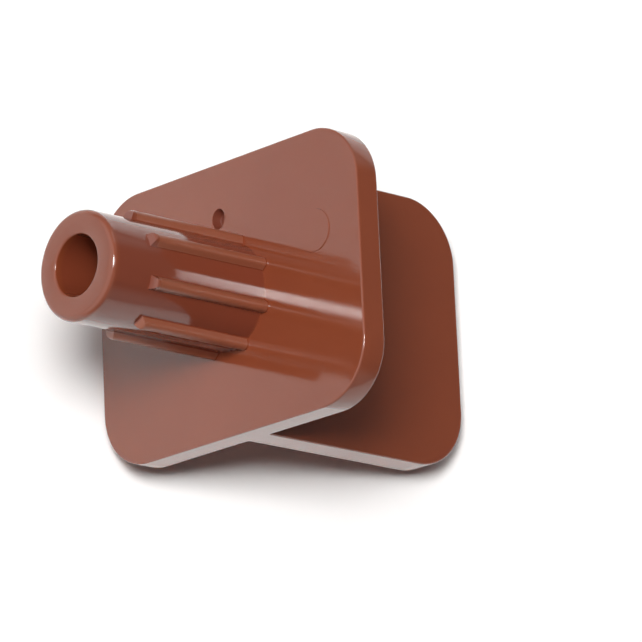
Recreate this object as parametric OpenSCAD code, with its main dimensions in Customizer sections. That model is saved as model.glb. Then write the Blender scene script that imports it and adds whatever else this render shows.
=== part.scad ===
// Push-in shelf support: a seat plate with a hollow ribbed pin on one side and
// a shelf tongue on the other, moulded in one piece.
//
// Millimetres. The pin runs along X: it points to -X into the cabinet side, and
// the tongue points to +X under the shelf. Z is up. The origin is on the pin's
// axis, where the plate's seat face meets the mouth of the cabinet's hole.

/* [Pin] */
// Length of the pin from the seat face to its tip
pin_length = 10; // [8:0.5:14]
// Diameter of the plain pin, between its ribs and at its nose
core_d = 5.55; // [4.6:0.05:6]
// Radius round the outer edge of the pin's tip
tip_radius = 0.3; // [0.1:0.05:0.5]
// Diameter of the coring hole that runs down the pin from its tip
coring_d = 3.1; // [1.5:0.1:3.5]
// Radius round the mouth of the coring hole
mouth_radius = 0.12; // [0.05:0.01:0.2]
// Plastic left between the foot of the coring hole and the seat face
coring_floor = 0.6; // [0.2:0.1:1.5]

/* [Crush ribs] */
// Number of ribs round the pin
rib_count = 8; // [4:2:10]
// Diameter over the ribs, a light press in the cabinet's hole
ribs_d = 6.4; // [6.1:0.05:7.4]
// Width of a rib where it leaves the pin
rib_root_width = 0.72; // [0.6:0.02:1]
// Width of a rib at its crest
rib_crest_width = 0.42; // [0.2:0.02:0.6]
// Length of plain nose ahead of the ribs, which finds the hole
nose_length = 2.5; // [1.5:0.1:4]
// Length over which the front of a rib rises to its full height
rib_lead = 0.15; // [0.05:0.05:1]

/* [Seat plate] */
// Height of the plate, along Z
plate_height = 19.1; // [16:0.1:26]
// Width of the plate and of the tongue, along Y
plate_width = 14.2; // [11:0.1:20]
// Thickness of the plate
plate_thickness = 1.4; // [1:0.1:2.5]
// Radius of the plate's four corners
plate_corner = 3.1; // [1:0.1:5]

/* [Shelf tongue] */
// Reach of the tongue from the back of the plate to its far end
tongue_reach = 13.6; // [10.5:0.1:20]
// Thickness of the tongue
tongue_thickness = 1.6; // [1:0.1:3]
// Radius of the tongue's two far corners
tongue_corner = 3.2; // [1:0.1:5]
// Height of the tongue's middle above the pin's axis
tongue_rise = 0.4; // [-2:0.1:2]

/* [Edges] */
// Radius that breaks every rim of the plate and the tongue
edge_radius = 0.1; // [0.05:0.05:0.4]

/* [Hidden] */
$fn = 96;
core_r = core_d / 2;
ribs_r = ribs_d / 2;
coring_r = coring_d / 2;
// The tongue lies halfway between two ribs seen from the end, so the pin's left
// and right are alike: the first rib stands half a pitch from straight up
rib_pitch = 360 / rib_count;
// Distance from the axis at which a rib's root corners lie on the pin
rib_root_r = sqrt(core_r ^ 2 - (rib_root_width / 2) ^ 2);
// Depth by which the pin and the tongue run into the plate, so that they fuse
root = plate_thickness / 2;
// Margin by which a shape passes the one that it joins or cuts
past = 0.5;
// Colour of the plastic
red_brown = [0.49, 0.24, 0.17];

// Turns a shape drawn along +Z so that it runs along -X, with its +X turned up
module along_pin() {
    rotate([0, -90, 0]) children();
}

// Rectangle of size [x, y] about the origin with its corners rounded
module rounded_rectangle(size, corner) {
    square([size.x - 2 * corner, size.y], center = true);
    square([size.x, size.y - 2 * corner], center = true);
    for (x = [-1, 1], y = [-1, 1])
        translate([x * (size.x / 2 - corner), y * (size.y / 2 - corner)])
            circle(corner);
}

// Half section of a disc with its rim rounded
module disc_section(radius, thickness) {
    translate([0, -thickness / 2])
        square([radius - edge_radius, thickness]);
    translate([0, edge_radius - thickness / 2])
        square([radius, thickness - 2 * edge_radius]);
    for (y = [-1, 1])
        translate([radius - edge_radius, y * (thickness / 2 - edge_radius)])
            circle(edge_radius);
}

// Bar along X through the origin, with the rounded section of a slab
module slab_bar(length, width, thickness) {
    rotate([90, 0, 90])
        linear_extrude(length, center = true)
            rounded_rectangle([width, thickness], edge_radius);
}

// Slab of size [x, y, z] about the origin, with four round corners and round rims
module rounded_slab(size, corner) {
    straight_x = size.x - 2 * corner;
    straight_y = size.y - 2 * corner;
    slab_bar(straight_x, size.y, size.z);
    rotate(90) slab_bar(straight_y, size.x, size.z);
    for (x = [-1, 1], y = [-1, 1])
        translate([x * straight_x / 2, y * straight_y / 2])
            rotate_extrude() disc_section(corner, size.z);
}

// Half section of the plain pin: a closed foot in the plate, then a tube
module core_section() {
    translate([0, -root]) square([core_r, root + coring_floor]);
    translate([coring_r, 0]) {
        square([core_r - coring_r, pin_length - tip_radius]);
        translate([mouth_radius, 0])
            square([core_r - coring_r - mouth_radius - tip_radius, pin_length]);
        square([mouth_radius, pin_length - mouth_radius]);
        translate([mouth_radius, pin_length - mouth_radius])
            circle(mouth_radius);
    }
    translate([core_r - tip_radius, pin_length - tip_radius])
        circle(tip_radius);
}

// Half section of the space that the ribs fill: full height, then their lead
module rib_space_section() {
    rib_front = pin_length - nose_length;
    polygon([
        [coring_r + mouth_radius, -root],
        [ribs_r, -root],
        [ribs_r, rib_front - rib_lead],
        [core_r, rib_front],
        [coring_r + mouth_radius, rib_front]
    ]);
}

// Cross-section of one rib, which leans in to its crest from both sides. Its
// sides run on into the pin and out past the space that the ribs fill.
module rib_section() {
    lean = (rib_root_width - rib_crest_width) / 2 / (ribs_r - rib_root_r);
    inner = rib_root_width / 2 + lean * past;
    outer = rib_crest_width / 2 - lean * past;
    polygon([
        [rib_root_r - past, -inner],
        [ribs_r + past, -outer],
        [ribs_r + past, outer],
        [rib_root_r - past, inner]
    ]);
}

module ribs() {
    intersection() {
        rotate_extrude() rib_space_section();
        for (i = [0 : rib_count - 1])
            rotate((i + 0.5) * rib_pitch)
                translate([0, 0, -root - past])
                    linear_extrude(root + pin_length) rib_section();
    }
}

module pin() {
    along_pin() {
        rotate_extrude() core_section();
        ribs();
    }
}

module seat_plate() {
    translate([plate_thickness / 2, 0, 0])
        rotate([90, 0, 90])
            rounded_slab([plate_width, plate_height, plate_thickness], plate_corner);
}

// The bar squares off the tongue's near corners, which end inside the plate
module shelf_tongue() {
    start = plate_thickness - root;
    reach = root + tongue_reach;
    bar = reach - tongue_corner;
    translate([start + reach / 2, 0, tongue_rise])
        rounded_slab([reach, plate_width, tongue_thickness], tongue_corner);
    translate([start + bar / 2, 0, tongue_rise])
        slab_bar(bar, plate_width, tongue_thickness);
}

module shelf_support() {
    color(red_brown) {
        seat_plate();
        pin();
        shelf_tongue();
    }
}

shelf_support();
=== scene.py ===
import math
import random

import bmesh
import bpy
from mathutils import Matrix, Vector


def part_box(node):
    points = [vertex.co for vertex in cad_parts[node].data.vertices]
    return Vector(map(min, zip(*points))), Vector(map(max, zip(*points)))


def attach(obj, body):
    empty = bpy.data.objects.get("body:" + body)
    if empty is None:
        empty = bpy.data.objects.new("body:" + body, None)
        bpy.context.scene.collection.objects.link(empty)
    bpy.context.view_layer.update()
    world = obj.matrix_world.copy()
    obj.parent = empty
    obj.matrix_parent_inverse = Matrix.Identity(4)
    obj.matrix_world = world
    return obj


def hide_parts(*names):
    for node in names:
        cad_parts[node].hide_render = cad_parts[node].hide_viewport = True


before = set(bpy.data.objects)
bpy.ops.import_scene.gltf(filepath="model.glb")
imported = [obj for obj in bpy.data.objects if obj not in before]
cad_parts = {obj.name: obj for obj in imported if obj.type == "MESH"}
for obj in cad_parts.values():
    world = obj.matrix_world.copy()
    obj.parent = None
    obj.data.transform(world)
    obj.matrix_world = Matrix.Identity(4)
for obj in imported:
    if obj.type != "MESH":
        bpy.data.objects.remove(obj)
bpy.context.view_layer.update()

# A push-in shelf support, moulded in one piece. The pin points to -X, the tongue to +X, and Z is up.
# Sizes are in millimetres, and a mesh is scaled to metres when it becomes an object.
mm = 0.001
tiny = 1e-3         # places closer than this are the same
sharpTurn = 50      # an edge that turns more than this, in degrees, is sharp
supportNode = "shelf_support"
boxLow, boxHigh = (Vector(corner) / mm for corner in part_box(supportNode))

scene = bpy.context.scene
scene.view_settings.view_transform = "Standard"


# sRGB hex to linear RGBA
def hexColor(text):
    def toLinear(level):
        return level / 12.92 if level <= 0.04045 else ((level + 0.055) / 1.055) ** 2.4
    return [toLinear(int(text[i:i + 2], 16) / 255) for i in (1, 3, 5)] + [1.0]


# inputs go by their names, with _ for a space, or by their numbers, as in i6
def addNode(tree, kind, settings=None, **inputs):
    node = tree.nodes.new(kind)
    for name, value in (settings or {}).items():
        setattr(node, name, value)
    for name, value in inputs.items():
        numbered = name[0] == "i" and name[1:].isdigit()
        socket = node.inputs[int(name[1:]) if numbered else name.replace("_", " ")]
        if isinstance(value, bpy.types.NodeSocket):
            tree.links.new(value, socket)
        else:
            socket.default_value = value
    return node


def sceneObject(name, bm):
    bmesh.ops.scale(bm, vec=(mm, mm, mm), verts=bm.verts)
    mesh = bpy.data.meshes.new(name)
    bm.to_mesh(mesh)
    bm.free()
    obj = bpy.data.objects.new(name, mesh)
    scene.collection.objects.link(obj)
    return obj


def bevelEdges(bm, edges, radius, segments):
    bmesh.ops.bevel(bm, geom=edges, offset=radius, offset_type="OFFSET", affect="EDGES",
                    segments=segments, profile=0.5, material=-1, clamp_overlap=False)


def isSharp(edge):
    return edge.calc_face_angle(0) > math.radians(sharpTurn)


# the target takes the other solid's union or difference, and the other solid goes
def joinSolid(target, other, operation):
    step = target.modifiers.new(operation.lower(), "BOOLEAN")
    step.operation = operation
    step.solver = "EXACT"
    step.object = other
    solved = target.evaluated_get(bpy.context.evaluated_depsgraph_get())
    joined = bpy.data.meshes.new_from_object(solved)
    target.modifiers.clear()
    old = target.data
    target.data = joined
    joined.name = target.name
    bpy.data.meshes.remove(old)
    bpy.data.objects.remove(other, do_unlink=True)


# the plate that lies on the cabinet wall, and the tongue that carries the shelf
plateSettings = {
    "thickness": 1.4,
    "corner": 3.1,
    "tongueThickness": 1.6,
    "tongueRise": 0.4,      # middle of the tongue above the pin's axis
    "tongueCorner": 3.2,
    "cornerSegments": 28,
    "root": 0.07,           # radius in the two corners where the tongue leaves the plate
    "rootSegments": 3,
    "rim": 0.1,             # radius that breaks every rim
    "rimSegments": 5,
}


# heights of the tongue's two faces
def tongueFaces():
    middle = plateSettings["tongueRise"]
    half = plateSettings["tongueThickness"] / 2
    return middle - half, middle + half


def makePlateAndTongue():
    plate = plateSettings
    back, far = plate["thickness"], boxHigh.x
    low, high = boxLow.z, boxHigh.z
    under, over = tongueFaces()
    outline = [(0, low), (back, low), (back, under), (far, under),
               (far, over), (back, over), (back, high), (0, high)]
    bm = bmesh.new()
    side = bm.faces.new([bm.verts.new((x, -boxHigh.y, z)) for x, z in outline])
    drawn = bmesh.ops.extrude_face_region(bm, geom=[side])["geom"]
    drawnVerts = [v for v in drawn if isinstance(v, bmesh.types.BMVert)]
    bmesh.ops.translate(bm, verts=drawnVerts, vec=(0, 2 * boxHigh.y, 0))
    bmesh.ops.recalc_face_normals(bm, faces=bm.faces)

    def near(a, b):
        return abs(a - b) < tiny

    def edgesWhere(test):
        return [e for e in bm.edges if test(*(v.co for v in e.verts))]

    # the plate's four corners, then the tongue's two far ones
    plateCorners = edgesWhere(lambda a, b: near(a.z, b.z) and near(a.y, b.y) and near(abs(a.z), high))
    bevelEdges(bm, plateCorners, plate["corner"], plate["cornerSegments"])
    tongueCorners = edgesWhere(lambda a, b: near(a.x, far) and near(b.x, far) and near(a.y, b.y))
    bevelEdges(bm, tongueCorners, plate["tongueCorner"], plate["cornerSegments"])
    # the corners in which the tongue stands, then every outer rim
    roots = edgesWhere(lambda a, b: near(a.x, back) and near(b.x, back) and near(a.z, b.z)
                       and (near(a.z, over) or near(a.z, under)))
    bevelEdges(bm, roots, plate["root"], plate["rootSegments"])
    rims = [e for e in bm.edges if isSharp(e) and e.is_convex]
    bevelEdges(bm, rims, plate["rim"], plate["rimSegments"])
    return sceneObject("shelfSupport", bm)


# the cored pin
pinSettings = {
    "radius": 2.775,
    "sunk": 0.7,            # how far it runs into the plate
    "tip": 0.3,             # radius round the outside of the tip
    "tipSegments": 7,
    "hole": 1.55,
    "floor": 0.6,           # plastic between the hole's foot and the seat face
    "mouth": 0.12,          # radius round the hole's mouth
    "foot": 0.25,           # and round its foot
    "holeSegments": 4,
    "steps": 144,           # sides of its round
}


def makeCore():
    pin = pinSettings
    tip, foot = boxLow.x, -pin["floor"]
    outline = [(pin["sunk"], 0), (pin["sunk"], pin["radius"]), (tip, pin["radius"]),
               (tip, pin["hole"]), (foot, pin["hole"]), (foot, 0)]
    bm = bmesh.new()
    points = [bm.verts.new((x, 0, r)) for x, r in outline]
    lines = [bm.edges.new(pair) for pair in zip(points, points[1:])]
    bmesh.ops.spin(bm, geom=points + lines, cent=(0, 0, 0), axis=(1, 0, 0), angle=2 * math.pi,
                   steps=pin["steps"], use_merge=True)
    bmesh.ops.remove_doubles(bm, verts=bm.verts, dist=tiny)
    bmesh.ops.recalc_face_normals(bm, faces=bm.faces)

    def ring(radius, x):
        def onRing(v):
            return abs(math.hypot(v.co.y, v.co.z) - radius) < tiny and abs(v.co.x - x) < tiny
        return [e for e in bm.edges if all(onRing(v) for v in e.verts)]

    bevelEdges(bm, ring(pin["radius"], tip), pin["tip"], pin["tipSegments"])
    bevelEdges(bm, ring(pin["hole"], tip), pin["mouth"], pin["holeSegments"])
    bevelEdges(bm, ring(pin["hole"], foot), pin["foot"], pin["holeSegments"])
    return sceneObject("core", bm)


# the crush ribs round the pin
ribSettings = {
    "count": 8,
    "noseLength": 2.5,      # plain pin ahead of them
    "lowShort": 0.5,        # how much later the two nearest to -Y start
    "crestRadius": 3.2,
    "root": 0.72,           # width of a rib where it leaves the pin
    "crest": 0.42,          # and at its crest
    "edge": 0.17,           # radius along both sides of the crest
    "edgeSegments": 4,
    "lead": 0.15,           # how far the front leans back
    "sunk": 0.5,            # how far a rib runs into the pin
    "cuts": 24,             # across its length, for the uneven crest
    "ragged": 0.012,        # how far the crest wanders
    "evenEnds": (0.5, 0.2),     # it doesn't over these lengths at the front and at the plate
    "seed": 7,
}


# one rib, straight up from the pin's axis
def makeRib(wander, late):
    rib = ribSettings
    radius, crest = pinSettings["radius"], rib["crestRadius"]
    front = boxLow.x + rib["noseLength"] + late
    inner = radius - rib["sunk"]
    # its leaning sides run on into the pin
    rise = crest - math.sqrt(radius ** 2 - (rib["root"] / 2) ** 2)
    lean = (rib["root"] - rib["crest"]) / 2 / rise
    innerHalf = rib["crest"] / 2 + lean * (crest - inner)
    slope = rib["lead"] / (crest - radius)
    bm = bmesh.new()
    for v in bmesh.ops.create_cube(bm, size=1)["verts"]:
        outer = v.co.z > 0
        height = crest if outer else inner
        v.co.x = pinSettings["sunk"] / 2 if v.co.x > 0 else front + slope * (height - radius)
        v.co.y = math.copysign(rib["crest"] / 2 if outer else innerHalf, v.co.y)
        v.co.z = height
    lengthwise = [e for e in bm.edges if abs(e.verts[0].co.x - e.verts[1].co.x) > abs(front) / 2]
    bmesh.ops.subdivide_edges(bm, edges=lengthwise, cuts=rib["cuts"], use_grid_fill=True)

    def onCrest(v):
        return v.co.z > crest - tiny

    # the crest's two sides and its front, but not its end inside the plate
    crestEdges = [e for e in bm.edges if isSharp(e) and all(onCrest(v) for v in e.verts)
                  and min(v.co.x for v in e.verts) < 0]
    fromFront, fromPlate = rib["evenEnds"]
    for v in bm.verts:
        if onCrest(v) and front + fromFront < v.co.x < -fromPlate:
            v.co.z += wander.uniform(-1, 0) * rib["ragged"]
            v.co.y += wander.uniform(-1, 1) * rib["ragged"]
    bevelEdges(bm, crestEdges, rib["edge"], rib["edgeSegments"])
    bmesh.ops.recalc_face_normals(bm, faces=bm.faces)
    return bm


def makeRibs():
    rib = ribSettings
    wander = random.Random(rib["seed"])
    bm = bmesh.new()
    for i in range(rib["count"]):
        turn = 2 * math.pi * (i + 0.5) / rib["count"]
        towardsLowY = math.sin(turn)    # a quarter turn takes a rib from straight up to -Y
        one = makeRib(wander, rib["lowShort"] if towardsLowY > 0.5 else 0)
        bmesh.ops.rotate(one, verts=one.verts, cent=(0, 0, 0), matrix=Matrix.Rotation(turn, 3, "X"))
        passing = bpy.data.meshes.new("rib")
        one.to_mesh(passing)
        one.free()
        bm.from_mesh(passing)
        bpy.data.meshes.remove(passing)
    return sceneObject("ribs", bm)


# marks that the mould leaves on the seat face
markSettings = {
    "gate": (4.2, -0.43),       # Y and Z of the pit where the gate was torn off
    "gateHalf": (0.54, 0.46),   # half its size along Y and Z
    "gateDepth": 0.5,
    "gateFoot": 0.8,            # size of its foot, as a share of its mouth
    "gateFootEdge": 0.04,
    "gateFootSegments": 2,
    "gateSegments": 48,
    "ejector": (1.9, 6.4),      # Y and Z of the disc that the ejector pin leaves
    "ejectorRadius": 1.08,
    "ejectorRise": 0.05,
    "ejectorDraft": 0.02,       # how much wider the disc is at the seat face
    "ejectorSegments": 72,
}


# turns the top of a round mark to +X and takes it to its place in the seat face
def placeMark(bm, place):
    bmesh.ops.rotate(bm, verts=bm.verts, cent=(0, 0, 0), matrix=Matrix.Rotation(math.pi / 2, 3, "Y"))
    bmesh.ops.translate(bm, verts=bm.verts, vec=(0, *place))


# The pit's cone reaches as far ahead of the seat face as behind it, and is scaled from a radius of 1 there.
def makeGate():
    mark = markSettings
    halfY, halfZ = mark["gateHalf"]
    bm = bmesh.new()
    bmesh.ops.create_cone(bm, cap_ends=True, segments=mark["gateSegments"], radius1=2 - mark["gateFoot"],
                          radius2=mark["gateFoot"], depth=2 * mark["gateDepth"])
    foot = [e for e in bm.edges if all(v.co.z > 0 for v in e.verts)]
    bevelEdges(bm, foot, mark["gateFootEdge"], mark["gateFootSegments"])
    bmesh.ops.scale(bm, vec=(halfZ, halfY, 1), verts=bm.verts)
    placeMark(bm, mark["gate"])
    return sceneObject("gate", bm)


# a low disc, half of it sunk in the plate
def makeEjector():
    mark = markSettings
    bm = bmesh.new()
    bmesh.ops.create_cone(bm, cap_ends=True, segments=mark["ejectorSegments"], radius1=mark["ejectorRadius"],
                          radius2=mark["ejectorRadius"] + 2 * mark["ejectorDraft"],
                          depth=2 * mark["ejectorRise"])
    placeMark(bm, mark["ejector"])
    return sceneObject("ejector", bm)


# how the whole mesh is cleaned and shaded
supportSettings = {
    "weld": 0.0004,     # corners closer than this are joined
    "creased": 32,      # an edge that turns more than this, in degrees, isn't shaded smooth
    "weight": 100,      # how far large faces rule the shading beside their rims
}


def makeSupport():
    support = makePlateAndTongue()
    joinSolid(support, makeEjector(), "UNION")
    joinSolid(support, makeGate(), "DIFFERENCE")
    joinSolid(support, makeCore(), "UNION")
    joinSolid(support, makeRibs(), "UNION")
    weld = supportSettings["weld"] * mm
    bm = bmesh.new()
    bm.from_mesh(support.data)
    bmesh.ops.remove_doubles(bm, verts=bm.verts, dist=weld)
    bmesh.ops.dissolve_degenerate(bm, edges=bm.edges, dist=weld)
    print("solids joined, open edges", sum(1 for e in bm.edges if not e.is_manifold))
    bm.to_mesh(support.data)
    bm.free()
    support.data.shade_smooth()
    support.data.set_sharp_from_angle(angle=math.radians(supportSettings["creased"]))
    weighted = support.modifiers.new("weighted", "WEIGHTED_NORMAL")
    weighted.mode = "FACE_AREA"
    weighted.weight = supportSettings["weight"]
    weighted.keep_sharp = True
    return support


plasticSettings = {
    "color": "#854127",
    "streak": "#7D3C24",
    # the pin is painted a shade darker, as painted shade
    "pinShadeColor": "#763723",
    # the ribs are painted a paler brown, as painted sheen
    "ribSheenColor": "#864A33",
    "pitShadeColor": "#6C3526",     # painted shade in the pit of the gate
    "ior": 1.58,
    "roughness": 0.07,
    "wornRoughness": 0.12,      # in patches
    "ribRoughness": 0.38,       # and in the pit
    "swirlSize": 4,             # cells of the melt's slow swirl
    "wearSize": 2,              # patches of mould wear
    "wearSpan": (0.35, 0.7),    # noise levels between which a patch comes in
    "waveLength": 3,            # a moulded face is never quite flat
    "waveHeight": 0.004,        # so it takes these low waves
    "sparkSize": 0.2,           # the ribs' pits, coarser than real ones, which are too fine to show
    "sparkDepth": 0.005,
    "seatLevel": -0.1,          # the pin's painted shade starts this far ahead of the seat face
    "ribFade": (0.02, 0.07),    # the ribs' finish and painted sheen come in between these heights above the pin,
    "frontFade": (0.1, 0.5),    # and so far behind their fronts, as the pin's painted shade does behind its tip
    "pitReach": 0.6,            # the pit's finish lies this near to the middle of the gate,
    "pitFade": (0.01, 0.04),    # and comes in between these depths
}


# how far a place is on the pin, on a rib or in the gate's pit, from 0 to 1
def findZones(tree, place):
    plastic = plasticSettings
    tip = boxLow.x
    ribStart, ribFull = (pinSettings["radius"] + rise for rise in plastic["ribFade"])
    fadeStart, fadeFull = plastic["frontFade"]
    pitStart, pitFull = plastic["pitFade"]
    gateY, gateZ = markSettings["gate"]
    front = tip + ribSettings["noseLength"]
    at = addNode(tree, "ShaderNodeSeparateXYZ", Vector=place)
    across = addNode(tree, "ShaderNodeCombineXYZ", Y=at.outputs["Y"], Z=at.outputs["Z"])
    ahead = addNode(tree, "ShaderNodeMath", {"operation": "LESS_THAN"},
                    i0=at.outputs["X"], i1=plastic["seatLevel"] * mm)
    pastTip = addNode(tree, "ShaderNodeMapRange", Value=at.outputs["X"],
                      From_Min=(tip + fadeStart) * mm, From_Max=(tip + fadeFull) * mm)
    onPin = addNode(tree, "ShaderNodeMath", {"operation": "MULTIPLY"},
                    i0=pastTip.outputs[0], i1=ahead.outputs[0])
    # a rib is what stands proud of the plain pin
    fromAxis = addNode(tree, "ShaderNodeVectorMath", {"operation": "LENGTH"}, i0=across.outputs[0])
    proud = addNode(tree, "ShaderNodeMapRange", Value=fromAxis.outputs["Value"],
                    From_Min=ribStart * mm, From_Max=ribFull * mm)
    proudAhead = addNode(tree, "ShaderNodeMath", {"operation": "MULTIPLY"},
                         i0=proud.outputs[0], i1=ahead.outputs[0])
    pastFront = addNode(tree, "ShaderNodeMapRange", Value=at.outputs["X"],
                        From_Min=(front + fadeStart) * mm, From_Max=(front + fadeFull) * mm)
    onRib = addNode(tree, "ShaderNodeMath", {"operation": "MULTIPLY"},
                    i0=proudAhead.outputs[0], i1=pastFront.outputs[0])
    # the pit lies behind the seat face
    fromGate = addNode(tree, "ShaderNodeVectorMath", {"operation": "DISTANCE"},
                       i0=across.outputs[0], i1=(0, gateY * mm, gateZ * mm))
    byGate = addNode(tree, "ShaderNodeMath", {"operation": "LESS_THAN"},
                     i0=fromGate.outputs["Value"], i1=plastic["pitReach"] * mm)
    behind = addNode(tree, "ShaderNodeMapRange", Value=at.outputs["X"],
                     From_Min=pitStart * mm, From_Max=pitFull * mm)
    inPit = addNode(tree, "ShaderNodeMath", {"operation": "MULTIPLY"},
                    i0=byGate.outputs[0], i1=behind.outputs[0])
    return onPin.outputs[0], onRib.outputs[0], inPit.outputs[0]


# Injection-moulded gloss ABS: the polished mould gives a clear, slightly wavy shine over a deep red-brown.
# The grooves for the ribs were spark-eroded and left so, and the ribs come out matt.
def mouldedPlastic():
    plastic = plasticSettings
    wearStart, wearFull = plastic["wearSpan"]
    material = bpy.data.materials.new("mouldedGlossAbs")
    material.use_nodes = True
    tree = material.node_tree
    tree.nodes.clear()
    place = addNode(tree, "ShaderNodeTexCoord").outputs["Object"]
    onPin, onRib, inPit = findZones(tree, place)
    # the melt's swirl is hardly darker than the rest; painted shade darkens pin and pit, painted sheen pales
    # the ribs
    swirl = addNode(tree, "ShaderNodeTexNoise", Vector=place, Scale=1 / (plastic["swirlSize"] * mm),
                    Detail=3.0, Roughness=0.5)
    tint = addNode(tree, "ShaderNodeMix", {"data_type": "RGBA"}, i0=swirl.outputs["Fac"],
                   i6=hexColor(plastic["color"]), i7=hexColor(plastic["streak"]))
    for zone, shade in ((onPin, "pinShadeColor"), (onRib, "ribSheenColor"), (inPit, "pitShadeColor")):
        tint = addNode(tree, "ShaderNodeMix", {"data_type": "RGBA"}, i0=zone, i6=tint.outputs[2],
                       i7=hexColor(plastic[shade]))
    # the shine is uneven where the mould is worn, and dull on the ribs and in the pit
    wear = addNode(tree, "ShaderNodeTexNoise", Vector=place, Scale=1 / (plastic["wearSize"] * mm),
                   Detail=4.0, Roughness=0.6)
    worn = addNode(tree, "ShaderNodeMapRange", Value=wear.outputs["Fac"],
                   From_Min=wearStart, From_Max=wearFull,
                   To_Min=plastic["roughness"], To_Max=plastic["wornRoughness"])
    matt = addNode(tree, "ShaderNodeMath", {"operation": "MAXIMUM"}, i0=onRib, i1=inPit)
    finish = addNode(tree, "ShaderNodeMix", i0=matt.outputs[0], i2=worn.outputs[0],
                     i3=plastic["ribRoughness"])
    # waves all over, and the sparks' pits on the ribs
    waves = addNode(tree, "ShaderNodeTexNoise", Vector=place, Scale=1 / (plastic["waveLength"] * mm),
                    Detail=1.0)
    wavy = addNode(tree, "ShaderNodeBump", Height=waves.outputs["Fac"],
                   Distance=plastic["waveHeight"] * mm, Strength=1.0)
    sparks = addNode(tree, "ShaderNodeTexNoise", Vector=place, Scale=1 / (plastic["sparkSize"] * mm),
                     Detail=2.0)
    pitted = addNode(tree, "ShaderNodeBump", Height=sparks.outputs["Fac"],
                     Distance=plastic["sparkDepth"] * mm, Strength=onRib, Normal=wavy.outputs[0])
    surface = addNode(tree, "ShaderNodeBsdfPrincipled", Base_Color=tint.outputs[2],
                      Roughness=finish.outputs[0], IOR=plastic["ior"], Normal=pitted.outputs[0])
    addNode(tree, "ShaderNodeOutputMaterial", Surface=surface.outputs[0])
    return material


support = makeSupport()
support.data.materials.clear()
support.data.materials.append(mouldedPlastic())
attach(support, "root")
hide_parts(supportNode)
print("support made,", len(support.data.polygons), "faces")


cameraSettings = {
    "azimuth": -67.872,
    "elevation": 43.669,
    "roll": 71.681,
    "lens": 296.89,
    "sensor": 36,
    "distance": 265.21,
    "aimOffset": (2.175, -0.860, 1.773),    # from the middle of the box
    "clip": (1, 10000),
}


# returns the point that it looks at, and the direction to its right
def makeCamera():
    view = cameraSettings
    azimuth, elevation = math.radians(view["azimuth"]), math.radians(view["elevation"])
    back = Vector((math.sin(azimuth) * math.cos(elevation), -math.cos(azimuth) * math.cos(elevation),
                   math.sin(elevation)))
    level = Vector((0, 0, 1)).cross(back).normalized()
    turn = Matrix((level, back.cross(level), back)).transposed()
    turn = turn @ Matrix.Rotation(math.radians(view["roll"]), 3, "Z")
    aim = (boxLow + boxHigh) / 2 + Vector(view["aimOffset"])
    data = bpy.data.cameras.new("camera")
    data.lens = view["lens"]
    data.sensor_width = view["sensor"]
    data.clip_start, data.clip_end = (end * mm for end in view["clip"])
    camera = bpy.data.objects.new("camera", data)
    camera.matrix_world = Matrix.Translation((aim + back * view["distance"]) * mm) @ turn.to_4x4()
    scene.collection.objects.link(camera)
    scene.camera = camera
    return aim, turn.col[0].copy()


aim, right = makeCamera()
print("camera set")


floorSettings = {
    "size": 900,
    "lowReach": 55,             # how far it reaches towards -Y
    "gap": 0.005,               # between it and the support's rim
    "shade": "#F8F7F6",
    "lift": 0.02,               # white added where the camera sees the floor
    "mirrored": (0.3, 0.08),    # and where the gloss mirrors it, near the support and far from it
    "mirrorSpan": (15, 60),     # the distances that go with them
    "plainSpan": (45, 85),      # between these distances it turns plain white to the camera
}


# Painted white board, matt: it stays even and takes a soft shadow.
def paintedBoard(middle):
    board = floorSettings
    nearWhite, farWhite = board["mirrored"]
    mirrorStart, mirrorEnd = board["mirrorSpan"]
    plainStart, plainEnd = board["plainSpan"]
    material = bpy.data.materials.new("paintedBoard")
    material.use_nodes = True
    tree = material.node_tree
    tree.nodes.clear()
    path = addNode(tree, "ShaderNodeLightPath").outputs
    place = addNode(tree, "ShaderNodeTexCoord").outputs["Object"]
    away = addNode(tree, "ShaderNodeVectorMath", {"operation": "DISTANCE"}, i0=place, i1=tuple(middle * mm))
    mirrored = addNode(tree, "ShaderNodeMapRange", Value=away.outputs["Value"], From_Min=mirrorStart * mm,
                       From_Max=mirrorEnd * mm, To_Min=nearWhite, To_Max=farWhite)
    seen = addNode(tree, "ShaderNodeMath", {"operation": "MULTIPLY"},
                   i0=path["Is Camera Ray"], i1=board["lift"])
    lift = addNode(tree, "ShaderNodeMath", {"operation": "MULTIPLY_ADD"}, i0=path["Is Glossy Ray"],
                   i1=mirrored.outputs[0], i2=seen.outputs[0])
    paint = addNode(tree, "ShaderNodeBsdfDiffuse", Color=hexColor(board["shade"]))
    glow = addNode(tree, "ShaderNodeEmission", Strength=lift.outputs[0])
    lit = addNode(tree, "ShaderNodeAddShader", i0=paint.outputs[0], i1=glow.outputs[0])
    # the board runs out past the lamps, so the camera sees it plain white far from the support
    far = addNode(tree, "ShaderNodeMapRange", {"interpolation_type": "SMOOTHSTEP"},
                  Value=away.outputs["Value"], From_Min=plainStart * mm, From_Max=plainEnd * mm)
    plain = addNode(tree, "ShaderNodeMath", {"operation": "MULTIPLY"},
                    i0=far.outputs[0], i1=path["Is Camera Ray"])
    white = addNode(tree, "ShaderNodeEmission", Strength=1.0)
    face = addNode(tree, "ShaderNodeMixShader", i0=plain.outputs[0], i1=lit.outputs[0], i2=white.outputs[0])
    # from behind the board is clear, so that a view from there still shows the support
    clear = addNode(tree, "ShaderNodeBsdfTransparent")
    behind = addNode(tree, "ShaderNodeNewGeometry").outputs["Backfacing"]
    both = addNode(tree, "ShaderNodeMixShader", i0=behind, i1=face.outputs[0], i2=clear.outputs[0])
    addNode(tree, "ShaderNodeOutputMaterial", Surface=both.outputs[0])
    return material


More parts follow.
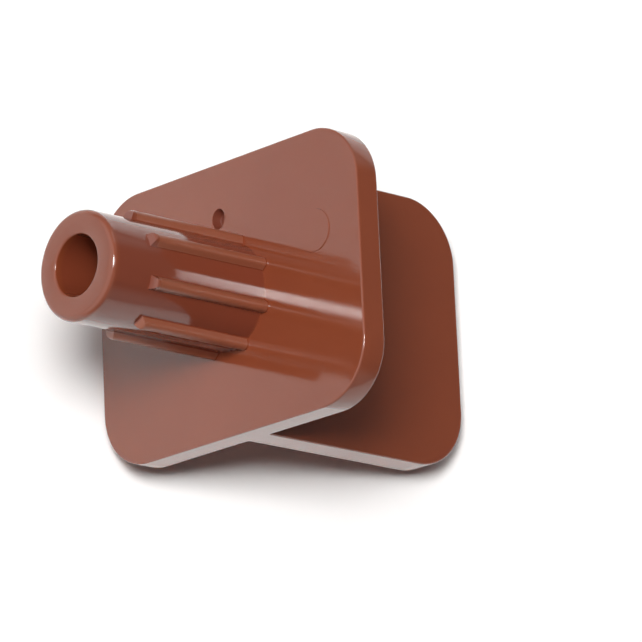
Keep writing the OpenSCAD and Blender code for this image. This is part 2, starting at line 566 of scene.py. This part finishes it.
# The support lies on its plate's low back rim and on the tongue's far end, so the floor slopes in its frame.
def makeFloor():
    board, rim = floorSettings, plateSettings["rim"]
    back = plateSettings["thickness"]
    under = tongueFaces()[0]
    slope = math.atan2(under - boxLow.z, boxHigh.x - back)
    along = Vector((math.cos(slope), 0, math.sin(slope)))
    normal = Vector((-math.sin(slope), 0, math.cos(slope)))
    across = normal.cross(along)
    touch = Vector((back - rim, 0, boxLow.z + rim)) - normal * (rim + board["gap"])
    middle = touch + across * (board["size"] / 2 - board["lowReach"])
    bm = bmesh.new()
    bmesh.ops.create_grid(bm, x_segments=2, y_segments=2, size=board["size"] / 2)
    lay = Matrix.Translation(middle) @ Matrix((along, across, normal)).transposed().to_4x4()
    bmesh.ops.transform(bm, matrix=lay, verts=bm.verts)
    floor = sceneObject("floor", bm)
    floor.data.materials.append(paintedBoard(touch))


makeFloor()
print("floor laid")


lightSettings = {
    "dome": 0.03,               # light from all round on the surfaces
    "domeSeen": 0.5,            # the room where the gloss mirrors it
    "darkSide": 0.35,           # how much of that is left at the camera's right
    "darkSpan": (0.75, 0.9),    # it fades between these cosines of the angle to there
    "tipSide": 0.9,             # what the pale wall beyond the pin's tip adds to it
    "tipSpan": (0.5, 0.75),     # that comes in between these cosines of the angle to -X
}


def makeWorld():
    light = lightSettings
    darkStart, darkEnd = light["darkSpan"]
    wallStart, wallEnd = light["tipSpan"]
    world = bpy.data.worlds.new("studio")
    scene.world = world
    world.use_nodes = True
    tree = world.node_tree
    tree.nodes.clear()
    path = addNode(tree, "ShaderNodeLightPath").outputs
    direction = addNode(tree, "ShaderNodeTexCoord").outputs["Generated"]
    toRight = addNode(tree, "ShaderNodeVectorMath", {"operation": "DOT_PRODUCT"},
                      i0=direction, i1=tuple(right))
    room = addNode(tree, "ShaderNodeMapRange", {"interpolation_type": "SMOOTHSTEP"},
                   Value=toRight.outputs["Value"], From_Min=darkStart, From_Max=darkEnd,
                   To_Min=light["domeSeen"], To_Max=light["domeSeen"] * light["darkSide"])
    toTip = addNode(tree, "ShaderNodeVectorMath", {"operation": "DOT_PRODUCT"},
                    i0=direction, i1=(-1, 0, 0))
    wall = addNode(tree, "ShaderNodeMapRange", {"interpolation_type": "SMOOTHSTEP"},
                   Value=toTip.outputs["Value"], From_Min=wallStart, From_Max=wallEnd,
                   To_Min=0.0, To_Max=light["tipSide"])
    mirrored = addNode(tree, "ShaderNodeMath", {"operation": "ADD"}, i0=room.outputs[0], i1=wall.outputs[0])
    glossy = addNode(tree, "ShaderNodeMix", i0=path["Is Glossy Ray"], i2=light["dome"],
                     i3=mirrored.outputs[0])
    strength = addNode(tree, "ShaderNodeMix", i0=path["Is Camera Ray"], i2=glossy.outputs[0], i3=1.0)
    sky = addNode(tree, "ShaderNodeBackground", Color=(1, 1, 1, 1), Strength=strength.outputs[0])
    addNode(tree, "ShaderNodeOutputWorld", Surface=sky.outputs[0])


# The softboxes hang on a sphere round the support. Tilt is from +Z towards the pin's tip and swing towards
# +Y, and the spans are what each box fills along the two, all in degrees. One that doesn't shine lights the
# surfaces and isn't mirrored in the gloss, and one that doesn't light is only mirrored.
softboxSettings = {
    "keySoftbox": {"tilt": 48, "swing": -1, "spans": (13, 15), "radiance": 28, "shines": False},
    "wideSoftbox": {"tilt": 49, "swing": 1.5, "spans": (26, 24), "radiance": 8, "shines": False},
    "longSoftbox": {"tilt": 36, "swing": -1, "spans": (36, 12), "radiance": 5},
    "topSoftbox": {"tilt": 8, "swing": 47, "spans": (24, 24), "radiance": 1},
    "glintSoftbox": {"tilt": 44, "swing": 3.5, "spans": (6.5, 13), "radiance": 84, "lights": False},
}
softboxDistance = 300


# a flat softbox that faces the support
def makeSoftbox(name, softbox):
    tilt, swing = math.radians(softbox["tilt"]), math.radians(softbox["swing"])
    width, height = (2 * softboxDistance * math.tan(math.radians(span) / 2) * mm for span in softbox["spans"])
    data = bpy.data.lights.new(name, "AREA")
    data.shape = "RECTANGLE"
    data.size = width
    data.size_y = height
    data.energy = softbox["radiance"] * math.pi * width * height
    z = Vector((-math.sin(tilt) * math.cos(swing), math.sin(swing), math.cos(tilt) * math.cos(swing)))
    x = Vector((0, 1, 0)).cross(z).normalized()
    turn = Matrix((x, z.cross(x), z)).transposed()
    box = bpy.data.objects.new(name, data)
    box.matrix_world = Matrix.Translation((aim + z * softboxDistance) * mm) @ turn.to_4x4()
    box.visible_diffuse = softbox.get("lights", True)
    box.visible_glossy = softbox.get("shines", True)
    scene.collection.objects.link(box)


makeWorld()
for name, softbox in softboxSettings.items():
    makeSoftbox(name, softbox)
print("lamps hung")
